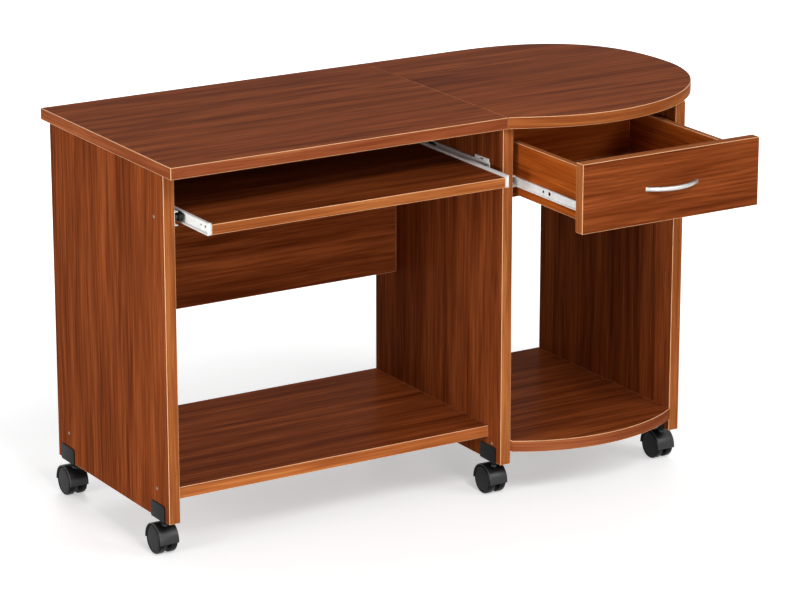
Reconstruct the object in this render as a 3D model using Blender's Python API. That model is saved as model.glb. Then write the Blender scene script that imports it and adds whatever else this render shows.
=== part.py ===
"""Computer desk on six casters: a rectangular worktop, a round-ended extension with a drawer,
a pull-out keyboard tray, two shelves and a modesty panel.

Metres, +Z up, front towards -Y. Places are worked out in the desk's own drawing frame, whose zero is the
floor under the main worktop's front left corner. The root empty then puts the middle of the
floor plan, with the tray and the drawer pulled out as they stand, at the world's origin.
"""
import math

import bmesh
import bpy
from mathutils import Vector

# Clearance between pieces that touch on the real desk, and the small flat on every board's corner
GAP = 0.0003
ARRIS = 0.0010
ARRIS_FROM_ANGLE = math.radians(40)
SHARP_FROM_ANGLE = math.radians(35)

# Worktops
DESK_HEIGHT = 0.750
TOP_THICKNESS = 0.022
TOP_DEPTH = 0.516
MAIN_LENGTH = 0.700
EXTENSION_STRAIGHT = 0.201
ROUND_HALF_LENGTH = 0.316
ROUND_HALF_DEPTH = 0.286
ROUND_BACK_POWER = 2.5
ROUND_LEAD_SEGMENTS = 4
ROUND_SEGMENTS = 20

# Upright panels
PANEL_THICKNESS = 0.022
PANEL_BOTTOM = 0.070
LEFT_OVERHANG = 0.012
LEFT_FRONT_SETBACK = 0.053
LEFT_BACK_SETBACK = 0.012
SEAM_BEARING = 0.003
BAY_FRONT_SETBACK = 0.012
BAY_WIDTH = 0.368
MIDDLE_BACK_SETBACK = 0.047
RIGHT_BACK_INSET = 0.001

# Shelves and back panels
SHELF_THICKNESS = 0.022
SHELF_TOP = 0.138
SHELF_FRONT_SETBACK = 0.002
EXTENSION_SHELF_INSET = 0.009
EXTENSION_SHELF_SEGMENTS = 20
MODESTY_THICKNESS = 0.018
MODESTY_DROP = 0.370
MODESTY_BACK_INSET = 0.061
BACK_PANEL_THICKNESS = 0.018
BACK_PANEL_DROP = 0.278

# Keyboard tray, and how far it stands pulled out
TRAY_THICKNESS = 0.019
TRAY_HEADROOM = 0.080
TRAY_BACK_SPACE = 0.032
TRAY_CLOSED_SETBACK = 0.005
TRAY_PULLED_OUT = 0.094
TRAY_SLIDE_SPACE = 0.026
TRAY_RUNNER_HEIGHT = 0.0225
TRAY_RUNNER_DEPTH = 0.008
TRAY_RAIL_SETBACK = 0.003
TRAY_EAR_LENGTH = 0.047
TRAY_EAR_RISE = 0.0055
TRAY_EAR_SETBACK = 0.003

# Drawer, and how far it stands pulled out
DRAWER_FRONT_THICKNESS = 0.022
DRAWER_FRONT_HEIGHT = 0.130
DRAWER_TOP_SPACE = 0.016
DRAWER_OVERLAY = 0.012
DRAWER_STOP_GAP = 0.0005
DRAWER_PULLED_OUT = 0.224
DRAWER_LENGTH = 0.350
DRAWER_SIDE_THICKNESS = 0.012
DRAWER_SIDE_HEIGHT = 0.100
DRAWER_SIDE_LIFT = 0.012
DRAWER_BOTTOM_THICKNESS = 0.004
DRAWER_BOTTOM_LIFT = 0.008
DRAWER_GROOVE_DEPTH = 0.005
DRAWER_SLIDE_SPACE = 0.013
DRAWER_RUNNER_HEIGHT = 0.0175
DRAWER_RUNNER_DEPTH = 0.006
DRAWER_RUNNER_LIFT = 0.031
DRAWER_RAIL_SETBACK = 0.004

# Bow handle
HANDLE_LENGTH = 0.106
HANDLE_BOW = 0.018
HANDLE_HEIGHT = 0.0092
HANDLE_DEPTH = 0.007
HANDLE_RINGS = 17
HANDLE_SIDES = 10

# Pressed steel slides
SLIDE_WALL = 0.0015
SLIDE_PLAY = 0.0004
RAIL_FLANGE = 0.008
ROLLER_SETBACK = 0.012
ROLLER_SIDES = 20

# Joining screws
SCREW_HEAD_RADIUS = 0.0045
SCREW_HEAD_HEIGHT = 0.0010
SCREW_SHANK_RADIUS = 0.0025
SCREW_BITE = 0.022
SCREW_SIDES = 16
SHELF_SCREW_FRONT = 0.046
SHELF_SCREW_BACK = 0.012
EXTENSION_SCREW_FRONT = 0.030
EXTENSION_SCREW_BACK = 0.110
TRAY_SCREW_FRONT = 0.036

# Casters
WHEEL_RADIUS = 0.0275
WHEEL_WIDTH = 0.014
WHEEL_SIDES = 24
WHEEL_SHOULDER = 0.003
WHEEL_RIM = 0.0035
WHEEL_DISH = 0.0012
WHEEL_COVER = 0.003
AXLE_RADIUS = 0.0025
AXLE_SIDES = 12
CASTER_WEB = 0.008
CASTER_PLAY = 0.001
HOOD_RADIUS = 0.0315
HOOD_WALL = 0.0028
HOOD_FRONT_ANGLE = math.radians(-5)
HOOD_BACK_ANGLE = math.radians(185)
HOOD_SEGMENTS = 16
HUB_RADIUS = 0.008
HUB_TURN = math.radians(30)
HUB_SEGMENTS = 6
STEM_RADIUS = 0.004
STEM_SIDES = 16
SLEEVE_RADIUS = 0.0065
CASTER_TRAIL = 0.010
CASTER_INSET = 0.042

# Angle brackets that carry the casters, lower under the bay's shelf
BRACKET_LENGTH = 0.053
BRACKET_RISE = 0.030
BAY_BRACKET_RISE = 0.024
BRACKET_THICKNESS = 0.0025
BRACKET_SHELF_CLEARANCE = 0.0008

# Places along the desk, from the main worktop's left end
TOP_UNDERSIDE = DESK_HEIGHT - TOP_THICKNESS
PANEL_TOP = TOP_UNDERSIDE - GAP
LEFT_OUTER = LEFT_OVERHANG
LEFT_INNER = LEFT_OUTER + PANEL_THICKNESS
MIDDLE_LEFT = MAIN_LENGTH - SEAM_BEARING
MIDDLE_RIGHT = MIDDLE_LEFT + PANEL_THICKNESS
RIGHT_INNER = MIDDLE_RIGHT + BAY_WIDTH
RIGHT_OUTER = RIGHT_INNER + PANEL_THICKNESS
ROUND_CENTRE_X = MAIN_LENGTH + EXTENSION_STRAIGHT
ROUND_CENTRE_Y = TOP_DEPTH - ROUND_HALF_DEPTH
DESK_LENGTH = ROUND_CENTRE_X + ROUND_HALF_LENGTH


def round_back_depth(x):
    """How far the round end's back edge lies behind its centre, at a place right of that centre."""
    reach = (x - ROUND_CENTRE_X) / ROUND_HALF_LENGTH
    return ROUND_HALF_DEPTH * (1 - reach ** ROUND_BACK_POWER) ** (1 / ROUND_BACK_POWER)


# Places across the desk, from the main worktop's front edge
LEFT_FRONT = LEFT_FRONT_SETBACK
LEFT_BACK = TOP_DEPTH - LEFT_BACK_SETBACK
BAY_FRONT = BAY_FRONT_SETBACK
MIDDLE_BACK = TOP_DEPTH - MIDDLE_BACK_SETBACK
RIGHT_BACK = ROUND_CENTRE_Y + round_back_depth(RIGHT_OUTER) - RIGHT_BACK_INSET
SHELF_FRONT = LEFT_FRONT + SHELF_FRONT_SETBACK
MODESTY_BACK = MIDDLE_BACK - MODESTY_BACK_INSET
MODESTY_FRONT = MODESTY_BACK - MODESTY_THICKNESS
TRAY_CLOSED_FRONT = LEFT_FRONT + TRAY_CLOSED_SETBACK
TRAY_DEPTH = MODESTY_FRONT - TRAY_BACK_SPACE - TRAY_CLOSED_FRONT
TRAY_FRONT = TRAY_CLOSED_FRONT - TRAY_PULLED_OUT
TRAY_BACK = TRAY_FRONT + TRAY_DEPTH
DRAWER_BOX_FRONT = BAY_FRONT - DRAWER_STOP_GAP - DRAWER_PULLED_OUT
DRAWER_FACE = DRAWER_BOX_FRONT - DRAWER_FRONT_THICKNESS
DRAWER_BOX_BACK = DRAWER_BOX_FRONT + GAP + DRAWER_LENGTH

# Heights
BRACKET_FLANGE_TOP = PANEL_BOTTOM - GAP
BRACKET_BOTTOM = BRACKET_FLANGE_TOP - BRACKET_THICKNESS
EXTENSION_SHELF_BOTTOM = PANEL_BOTTOM + BAY_BRACKET_RISE + BRACKET_SHELF_CLEARANCE
EXTENSION_SHELF_TOP = EXTENSION_SHELF_BOTTOM + SHELF_THICKNESS
MODESTY_BOTTOM = TOP_UNDERSIDE - MODESTY_DROP
BACK_PANEL_BOTTOM = TOP_UNDERSIDE - BACK_PANEL_DROP
TRAY_TOP = TOP_UNDERSIDE - TRAY_HEADROOM
TRAY_BOTTOM = TRAY_TOP - TRAY_THICKNESS
DRAWER_FRONT_TOP = TOP_UNDERSIDE - DRAWER_TOP_SPACE
DRAWER_FRONT_BOTTOM = DRAWER_FRONT_TOP - DRAWER_FRONT_HEIGHT
DRAWER_SIDE_BOTTOM = DRAWER_FRONT_BOTTOM + DRAWER_SIDE_LIFT
DRAWER_SIDE_TOP = DRAWER_SIDE_BOTTOM + DRAWER_SIDE_HEIGHT
DRAWER_FLOOR = DRAWER_SIDE_BOTTOM + DRAWER_BOTTOM_LIFT
AXLE_HEIGHT = WHEEL_RADIUS * math.cos(math.pi / WHEEL_SIDES)

# The middle of the floor plan, from the handle's bow to the worktop's back edge
HANDLE_FRONT = DRAWER_FACE - GAP - HANDLE_BOW - HANDLE_DEPTH / 2
PLAN_FRONT = min(HANDLE_FRONT, ROUND_CENTRE_Y - ROUND_HALF_DEPTH)
ORIGIN = Vector((DESK_LENGTH / 2, (PLAN_FRONT + TOP_DEPTH) / 2, 0))

PLACES = {}


def clear_scene():
    for item in list(bpy.data.objects):
        bpy.data.objects.remove(item, do_unlink=True)


def finish(name, colour, roughness, metallic=0.0):
    """A plain Principled material of the piece's colour."""
    material = bpy.data.materials.new(name)
    material.use_nodes = True
    shader = material.node_tree.nodes["Principled BSDF"]
    shader.inputs["Base Color"].default_value = (*colour, 1)
    shader.inputs["Roughness"].default_value = roughness
    shader.inputs["Metallic"].default_value = metallic
    return material


def stand(name, place, parent=None):
    """An empty that carries pieces, on the axis that they move about or along."""
    empty = bpy.data.objects.new(name, None)
    bpy.context.collection.objects.link(empty)
    PLACES[name] = Vector(place)
    empty.parent = parent
    empty.location = PLACES[name] - (PLACES[parent.name] if parent else ORIGIN)
    return empty


def put(name, mesh, place, material, parent):
    """A named piece of the desk, at a place in the drawing frame."""
    piece = bpy.data.objects.new(name, mesh)
    bpy.context.collection.objects.link(piece)
    piece.parent = parent
    piece.location = Vector(place) - PLACES[parent.name]
    if not mesh.materials:
        mesh.materials.append(material)
    return piece


def mesh_from(bm, name, smooth=False):
    bmesh.ops.recalc_face_normals(bm, faces=bm.faces)
    mesh = bpy.data.meshes.new(name)
    bm.to_mesh(mesh)
    bm.free()
    if smooth:
        mesh.shade_smooth()
        mesh.set_sharp_from_angle(angle=SHARP_FROM_ANGLE)
    return mesh


def box_mesh(name, size):
    bm = bmesh.new()
    bmesh.ops.create_cube(bm, size=1)
    bmesh.ops.scale(bm, vec=size, verts=bm.verts)
    return mesh_from(bm, name)


AXES = {"X": ("y", "z"), "Y": ("x", "z"), "Z": ("x", "y")}


def prism_mesh(name, outline, start, end, along, smooth=False):
    """An outline in the plane across an axis, extruded along that axis from start to end."""
    first, second = AXES[along]
    bm = bmesh.new()
    corners = []
    for a, b in outline:
        point = Vector()
        setattr(point, first, a)
        setattr(point, second, b)
        setattr(point, along.lower(), start)
        corners.append(bm.verts.new(point))
    face = bm.faces.new(corners)
    grown = bmesh.ops.extrude_face_region(bm, geom=[face])
    step = Vector()
    setattr(step, along.lower(), end - start)
    moved = [item for item in grown["geom"] if isinstance(item, bmesh.types.BMVert)]
    bmesh.ops.translate(bm, vec=step, verts=moved)
    return mesh_from(bm, name, smooth)


def arc(radius, start, end, steps):
    """Points on a circle in a plane, both ends included."""
    angles = [start + (end - start) * i / steps for i in range(steps + 1)]
    return [(radius * math.cos(a), radius * math.sin(a)) for a in angles]


def circle(radius, sides):
    """A regular polygon round the circle's centre, with a flat side at its lowest point."""
    half = math.pi / sides
    return arc(radius, half - math.pi / 2, half - math.pi / 2 + 2 * math.pi * (1 - 1 / sides), sides - 1)


def bevel(piece):
    """The small flat along a board's sharp edges."""
    edge = piece.modifiers.new("arris", "BEVEL")
    edge.width = ARRIS
    edge.segments = 1
    edge.limit_method = "ANGLE"
    edge.angle_limit = ARRIS_FROM_ANGLE


def board(name, low, high, material, parent):
    """A rectangular board between two corners of the drawing frame."""
    low = Vector(low)
    high = Vector(high)
    piece = put(name, box_mesh(name, high - low), (low + high) / 2, material, parent)
    bevel(piece)
    return piece


def combine(piece, tool, operation):
    """Join a tool's shape to a piece, or cut it out."""
    tool.hide_render = True
    tool.display_type = "WIRE"
    step = piece.modifiers.new(tool.name, "BOOLEAN")
    step.operation = operation
    step.solver = "EXACT"
    step.object = tool


def settled_mesh(name, base, joined=(), cut=()):
    """One mesh made of a base mesh with others joined to it and others cut out of it."""
    made = [bpy.data.objects.new(f"{name}.{i}", mesh) for i, mesh in enumerate([base, *joined, *cut])]
    for item in made:
        bpy.context.collection.objects.link(item)
    for item in made[1:1 + len(joined)]:
        combine(made[0], item, "UNION")
    for item in made[1 + len(joined):]:
        combine(made[0], item, "DIFFERENCE")
    bpy.context.view_layer.update()
    seen = made[0].evaluated_get(bpy.context.evaluated_depsgraph_get())
    mesh = bpy.data.meshes.new_from_object(seen)
    mesh.name = name
    for item in made:
        bpy.data.objects.remove(item, do_unlink=True)
    return mesh


def extension_outline():
    """The extension's plan: out of the seam's corner along the tangent, round the front as an ellipse,
    and round the back as a slightly squarer curve."""
    seam = MAIN_LENGTH + GAP
    corner = Vector((-EXTENSION_STRAIGHT / ROUND_HALF_LENGTH, -ROUND_CENTRE_Y / ROUND_HALF_DEPTH))
    if corner.length > 1:
        start = math.atan2(corner.y, corner.x) + math.acos(1 / corner.length)
    else:
        start = -math.acos(corner.x)
    ring = arc(1, start, -math.pi / 2, ROUND_LEAD_SEGMENTS)
    ring += arc(1, -math.pi / 2, 0, ROUND_SEGMENTS)[1:]
    square = 2 / ROUND_BACK_POWER
    ring += [(max(c, 0) ** square, s ** square) for c, s in arc(1, 0, math.pi / 2, ROUND_SEGMENTS)[1:]]
    curve = [(ROUND_CENTRE_X + ROUND_HALF_LENGTH * c, ROUND_CENTRE_Y + ROUND_HALF_DEPTH * s)
             for c, s in ring]
    return [(seam, 0), *curve, (seam, TOP_DEPTH)]


def extension_shelf_outline():
    """The bay's shelf: its front follows the round worktop's edge, set in by one inset."""
    left = MIDDLE_RIGHT + GAP
    right = RIGHT_INNER - GAP
    half_length = ROUND_HALF_LENGTH - EXTENSION_SHELF_INSET
    half_depth = ROUND_HALF_DEPTH - EXTENSION_SHELF_INSET
    start = -math.acos((left - ROUND_CENTRE_X) / half_length)
    end = -math.acos((right - ROUND_CENTRE_X) / half_length)
    ring = arc(1, start, end, EXTENSION_SHELF_SEGMENTS)
    curve = [(ROUND_CENTRE_X + half_length * c, ROUND_CENTRE_Y + half_depth * s) for c, s in ring]
    return [*curve, (right, RIGHT_BACK), (left, RIGHT_BACK)]


def make_carcase(desk, wood):
    """Worktops, upright panels, shelves and back panels."""
    board("main_top", (0, 0, TOP_UNDERSIDE), (MAIN_LENGTH, TOP_DEPTH, DESK_HEIGHT), wood, desk)
    plan = prism_mesh("extension_top", extension_outline(), TOP_UNDERSIDE, DESK_HEIGHT, "Z", smooth=True)
    bevel(put("extension_top", plan, (0, 0, 0), wood, desk))
    for name, start, end, front, back in (
        ("left_panel", LEFT_OUTER, LEFT_INNER, LEFT_FRONT, LEFT_BACK),
        ("middle_panel", MIDDLE_LEFT, MIDDLE_RIGHT, BAY_FRONT, MIDDLE_BACK),
        ("right_panel", RIGHT_INNER, RIGHT_OUTER, BAY_FRONT, RIGHT_BACK),
    ):
        board(name, (start, front, PANEL_BOTTOM), (end, back, PANEL_TOP), wood, desk)
    knee_left = LEFT_INNER + GAP
    knee_right = MIDDLE_LEFT - GAP
    board("modesty_panel", (knee_left, MODESTY_FRONT, MODESTY_BOTTOM),
          (knee_right, MODESTY_BACK, PANEL_TOP), wood, desk)
    board("bottom_shelf", (knee_left, SHELF_FRONT, SHELF_TOP - SHELF_THICKNESS),
          (knee_right, MIDDLE_BACK, SHELF_TOP), wood, desk)
    shelf = prism_mesh("extension_shelf", extension_shelf_outline(), EXTENSION_SHELF_BOTTOM,
                       EXTENSION_SHELF_TOP, "Z", smooth=True)
    bevel(put("extension_shelf", shelf, (0, 0, 0), wood, desk))
    back_panel_front = RIGHT_BACK - BACK_PANEL_THICKNESS
    board("extension_back_panel", (MIDDLE_RIGHT + GAP, back_panel_front, BACK_PANEL_BOTTOM),
          (RIGHT_INNER - GAP, RIGHT_BACK, PANEL_TOP), wood, desk)


def channel_outline(wall, lip, bottom, top, thickness):
    """A channel's section: a web at wall, with two flanges that reach to lip."""
    side = math.copysign(thickness, lip - wall)
    return [(wall, bottom), (lip, bottom), (lip, bottom + thickness), (wall + side, bottom + thickness),
            (wall + side, top - thickness), (lip, top - thickness), (lip, top), (wall, top)]


def make_roller(name, y, z, radius, start, end, carrier, material):
    """A nylon roller with its stub axle, as one round boss between two places along X."""
    outline = [(y + c, z + s) for c, s in circle(radius, ROLLER_SIDES)]
    return put(name, prism_mesh(name, outline, start, end, "X"), (0, 0, 0), material, carrier)


def make_slide(name, faces, section, rail_span, runner_span, enamel, desk, carrier):
    """A channel rail fixed to a panel, and a shallow runner channel on the moving board. The rail's front
    roller runs inside the runner, and the runner's back roller runs inside the rail."""
    kind, end = name
    panel_face, board_face = faces
    bottom, height, depth = section
    side = math.copysign(1, board_face - panel_face)
    outer = SLIDE_WALL + SLIDE_PLAY
    rail_wall = panel_face + side * GAP
    rail_lip = rail_wall + side * RAIL_FLANGE
    rail_section = channel_outline(rail_wall, rail_lip, bottom - outer, bottom + height + outer, SLIDE_WALL)
    rail_mesh = prism_mesh(f"{kind}_rail_{end}", rail_section, *rail_span, "Y")
    rail = put(rail_mesh.name, rail_mesh, (0, 0, 0), enamel, desk)
    runner_wall = board_face - side * GAP
    runner_lip = runner_wall - side * depth
    runner_section = channel_outline(runner_wall, runner_lip, bottom, bottom + height, SLIDE_WALL)
    runner_mesh = prism_mesh(f"{kind}_runner_{end}", runner_section, *runner_span, "Y")
    runner = put(runner_mesh.name, runner_mesh, (0, 0, 0), enamel, carrier)
    middle = bottom + height / 2
    front_roller = make_roller(f"{kind}_front_roller_{end}", rail_span[0] + ROLLER_SETBACK, middle,
                               height / 2 - outer, rail_wall + side * SLIDE_WALL / 2,
                               runner_wall - side * outer, desk, enamel)
    combine(rail, front_roller, "UNION")
    back_roller = make_roller(f"{kind}_back_roller_{end}", runner_span[1] - ROLLER_SETBACK, middle,
                              height / 2, runner_wall - side * SLIDE_WALL / 2,
                              rail_wall + side * outer, carrier, enamel)
    combine(runner, back_roller, "UNION")
    return rail


def make_tray(desk, wood, enamel):
    """The keyboard tray on its two slides. The fixed rails have a mounting ear near their front end."""
    tray = stand("tray", (LEFT_INNER, TRAY_FRONT, TRAY_BOTTOM), desk)
    left = LEFT_INNER + TRAY_SLIDE_SPACE
    right = MIDDLE_LEFT - TRAY_SLIDE_SPACE
    board("keyboard_tray", (left, TRAY_FRONT, TRAY_BOTTOM), (right, TRAY_BACK, TRAY_TOP), wood, tray)
    rail_front = LEFT_FRONT + TRAY_RAIL_SETBACK
    rail_span = (rail_front, rail_front + TRAY_DEPTH)
    rail_top = TRAY_BOTTOM + TRAY_RUNNER_HEIGHT + SLIDE_PLAY + SLIDE_WALL
    section = (TRAY_BOTTOM, TRAY_RUNNER_HEIGHT, TRAY_RUNNER_DEPTH)
    rails = []
    for side, panel_face, tray_edge in (("left", LEFT_INNER, left), ("right", MIDDLE_LEFT, right)):
        rail = make_slide(("tray", side), (panel_face, tray_edge), section, rail_span,
                          (TRAY_FRONT, TRAY_BACK), enamel, desk, tray)
        inward = math.copysign(1, tray_edge - panel_face)
        wall = sorted((panel_face + inward * GAP, panel_face + inward * (GAP + SLIDE_WALL)))
        ear_front = rail_front + TRAY_EAR_SETBACK
        ear_back = ear_front + TRAY_EAR_LENGTH
        ear_low = rail_top - SLIDE_WALL
        ear_high = rail_top + TRAY_EAR_RISE
        ear_outline = [(ear_front, ear_low), (ear_back, ear_low),
                       (ear_back, ear_high), (ear_front, ear_high)]
        ear = prism_mesh(f"tray_ear_{side}", ear_outline, *wall, "X")
        combine(rail, put(f"tray_ear_{side}", ear, (0, 0, 0), enamel, desk), "UNION")
        rails.append(rail)
    return rails


def side_outline(outer, inner):
    """A drawer side's section, with the groove that the bottom sits in."""
    groove = inner + math.copysign(DRAWER_GROOVE_DEPTH, outer - inner)
    groove_low = DRAWER_FLOOR - GAP
    groove_high = DRAWER_FLOOR + DRAWER_BOTTOM_THICKNESS + GAP
    return [(outer, DRAWER_SIDE_BOTTOM), (inner, DRAWER_SIDE_BOTTOM),
            (inner, groove_low), (groove, groove_low), (groove, groove_high), (inner, groove_high),
            (inner, DRAWER_SIDE_TOP), (outer, DRAWER_SIDE_TOP)]


def handle_mesh(middle, height):
    """A bow handle: an oval section carried along an arc that springs from the drawer's face and back."""
    face = DRAWER_FACE - GAP
    radius = (HANDLE_LENGTH ** 2 / 4 + HANDLE_BOW ** 2) / (2 * HANDLE_BOW)
    half_angle = math.asin(HANDLE_LENGTH / 2 / radius)
    centre_y = face - HANDLE_BOW + radius
    bm = bmesh.new()
    rings = []
    for i in range(HANDLE_RINGS):
        turn = half_angle * (2 * i / (HANDLE_RINGS - 1) - 1)
        outward = Vector((math.sin(turn), -math.cos(turn), 0))
        along = Vector((math.cos(turn), math.sin(turn), 0))
        spine = Vector((middle, centre_y, height)) + radius * outward
        ring = []
        for c, s in arc(1, 0, 2 * math.pi * (1 - 1 / HANDLE_SIDES), HANDLE_SIDES - 1):
            point = spine + outward * (HANDLE_DEPTH / 2 * c) + Vector((0, 0, HANDLE_HEIGHT / 2 * s))
            if i in (0, HANDLE_RINGS - 1):
                point += along * ((face - point.y) / along.y)
            ring.append(bm.verts.new(point))
        rings.append(ring)
    for near, far in zip(rings, rings[1:]):
        for j in range(HANDLE_SIDES):
            k = (j + 1) % HANDLE_SIDES
            bm.faces.new((near[j], near[k], far[k], far[j]))
    bm.faces.new(rings[0])
    bm.faces.new(rings[-1])
    return mesh_from(bm, "drawer_handle", smooth=True)


def make_drawer(desk, wood, enamel, nickel):
    """The drawer box with its overlaid front, bow handle and two slides."""
    drawer = stand("drawer", (MIDDLE_RIGHT, DRAWER_BOX_FRONT, DRAWER_FRONT_BOTTOM), desk)
    front_left = MIDDLE_RIGHT - DRAWER_OVERLAY
    front_right = RIGHT_INNER + DRAWER_OVERLAY
    board("drawer_front", (front_left, DRAWER_FACE, DRAWER_FRONT_BOTTOM),
          (front_right, DRAWER_BOX_FRONT, DRAWER_FRONT_TOP), wood, drawer)
    box_front = DRAWER_BOX_FRONT + GAP
    left_outer = MIDDLE_RIGHT + DRAWER_SLIDE_SPACE
    right_outer = RIGHT_INNER - DRAWER_SLIDE_SPACE
    left_inner = left_outer + DRAWER_SIDE_THICKNESS
    right_inner = right_outer - DRAWER_SIDE_THICKNESS
    section = (DRAWER_FRONT_BOTTOM + DRAWER_RUNNER_LIFT, DRAWER_RUNNER_HEIGHT, DRAWER_RUNNER_DEPTH)
    rail_front = BAY_FRONT + DRAWER_RAIL_SETBACK
    rail_span = (rail_front, rail_front + DRAWER_LENGTH)
    for side, panel, outer, inner in (("left", MIDDLE_RIGHT, left_outer, left_inner),
                                      ("right", RIGHT_INNER, right_outer, right_inner)):
        name = f"drawer_side_{side}"
        wall = prism_mesh(name, side_outline(outer, inner), box_front, DRAWER_BOX_BACK, "Y")
        bevel(put(name, wall, (0, 0, 0), wood, drawer))
        make_slide(("drawer", side), (panel, outer), section, rail_span, (box_front, DRAWER_BOX_BACK),
                   enamel, desk, drawer)
    tongue = DRAWER_GROOVE_DEPTH - GAP
    floor_top = DRAWER_FLOOR + DRAWER_BOTTOM_THICKNESS
    board("drawer_bottom", (left_inner - tongue, box_front, DRAWER_FLOOR),
          (right_inner + tongue, DRAWER_BOX_BACK, floor_top), wood, drawer)
    board("drawer_back", (left_inner + GAP, DRAWER_BOX_BACK - DRAWER_SIDE_THICKNESS, floor_top + GAP),
          (right_inner - GAP, DRAWER_BOX_BACK, DRAWER_SIDE_TOP), wood, drawer)
    middle = (front_left + front_right) / 2
    height = (DRAWER_FRONT_BOTTOM + DRAWER_FRONT_TOP) / 2
    put("drawer_handle", handle_mesh(middle, height), (0, 0, 0), nickel, drawer)


def revolved_mesh(name, profile, sides):
    """A profile of (place along X, radius) points, turned about X into a closed body."""
    bm = bmesh.new()
    rings = []
    for x, radius in profile:
        if radius == 0:
            rings.append([bm.verts.new((x, 0, 0))])
        else:
            rings.append([bm.verts.new((x, c, s)) for c, s in circle(radius, sides)])
    for near, far in zip(rings, rings[1:]):
        for j in range(sides):
            k = (j + 1) % sides
            corners = [near[j % len(near)], near[k % len(near)], far[k % len(far)], far[j % len(far)]]
            bm.faces.new(list(dict.fromkeys(corners)))
    return mesh_from(bm, name, smooth=True)


def wheel_mesh():
    """A wheel with its inner face at X zero: blind bore, rounded tread and a dished outer cover."""
    bore = (AXLE_RADIUS + GAP) / math.cos(math.pi / WHEEL_SIDES)
    rim = WHEEL_RADIUS - WHEEL_RIM
    return revolved_mesh("wheel", [
        (WHEEL_WIDTH - WHEEL_COVER, 0), (WHEEL_WIDTH - WHEEL_COVER, bore), (0, bore),
        (0, WHEEL_RADIUS - WHEEL_SHOULDER / 2), (WHEEL_SHOULDER / 2, WHEEL_RADIUS),
        (WHEEL_WIDTH - WHEEL_SHOULDER, WHEEL_RADIUS), (WHEEL_WIDTH, WHEEL_RADIUS - WHEEL_SHOULDER),
        (WHEEL_WIDTH, rim), (WHEEL_WIDTH - WHEEL_DISH, rim - WHEEL_DISH), (WHEEL_WIDTH - WHEEL_DISH, 0),
    ], WHEEL_SIDES)


def caster_body_mesh():
    """Hood over both wheels, web between them and stem above. Its zero is on the floor under the stem."""
    half_width = CASTER_WEB / 2 + CASTER_PLAY + WHEEL_WIDTH
    inner = HOOD_RADIUS - HOOD_WALL

    def about_axle(points):
        return [(CASTER_TRAIL - c, AXLE_HEIGHT + s) for c, s in points]

    shell = arc(HOOD_RADIUS, HOOD_FRONT_ANGLE, HOOD_BACK_ANGLE, HOOD_SEGMENTS)
    shell += arc(inner, HOOD_BACK_ANGLE, HOOD_FRONT_ANGLE, HOOD_SEGMENTS)
    hood = prism_mesh("hood", about_axle(shell), -half_width, half_width, "X")
    middle_radius = HOOD_RADIUS - HOOD_WALL / 2
    plate = arc(middle_radius, HOOD_FRONT_ANGLE, HOOD_BACK_ANGLE, HOOD_SEGMENTS)
    hub_start = HOOD_BACK_ANGLE + HUB_TURN
    hub_end = 2 * math.pi + HOOD_FRONT_ANGLE - HUB_TURN
    plate += arc(HUB_RADIUS, hub_start, hub_end, HUB_SEGMENTS)
    web = prism_mesh("web", about_axle(plate), -CASTER_WEB / 2, CASTER_WEB / 2, "X")
    hood_top = AXLE_HEIGHT + math.sqrt(HOOD_RADIUS ** 2 - CASTER_TRAIL ** 2)
    sunk = hood_top - HOOD_WALL
    sleeve_bottom = hood_top + 2 * CASTER_PLAY
    collar = prism_mesh("collar", circle(SLEEVE_RADIUS, STEM_SIDES), sunk, sleeve_bottom - GAP, "Z")
    stem = prism_mesh("stem", circle(STEM_RADIUS, STEM_SIDES), sunk + GAP, BRACKET_BOTTOM - GAP, "Z")
    hole = [(CASTER_TRAIL + c, AXLE_HEIGHT + s) for c, s in circle(AXLE_RADIUS + GAP, AXLE_SIDES)]
    bore = prism_mesh("bore", hole, -half_width, half_width, "X")
    return settled_mesh("caster_body", hood, joined=(web, collar, stem), cut=(bore,)), sleeve_bottom


def bracket_mesh(sleeve_bottom, rise):
    """An angle bracket: a plate on the panel's left face, a flange under the panel and a stem sleeve.
    Its zero is the panel's middle, above the point where the stem meets the floor."""
    top = PANEL_BOTTOM + rise
    face = -PANEL_THICKNESS / 2 - GAP
    outer = face - BRACKET_THICKNESS
    inner = PANEL_THICKNESS / 2
    section = [(outer, BRACKET_BOTTOM), (inner, BRACKET_BOTTOM), (inner, BRACKET_FLANGE_TOP),
               (face, BRACKET_FLANGE_TOP), (face, top), (outer, top)]
    angle = prism_mesh("angle", section, -BRACKET_LENGTH / 2, BRACKET_LENGTH / 2, "Y")
    sleeve = prism_mesh("sleeve", circle(SLEEVE_RADIUS, STEM_SIDES), sleeve_bottom,
                        BRACKET_BOTTOM + BRACKET_THICKNESS / 2, "Z")
    socket = (STEM_RADIUS + GAP) / math.cos(math.pi / STEM_SIDES)
    bore = prism_mesh("socket", circle(socket, STEM_SIDES), sleeve_bottom - GAP, BRACKET_BOTTOM, "Z")
    return settled_mesh("caster_bracket", angle, joined=(sleeve,), cut=(bore,))


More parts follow.
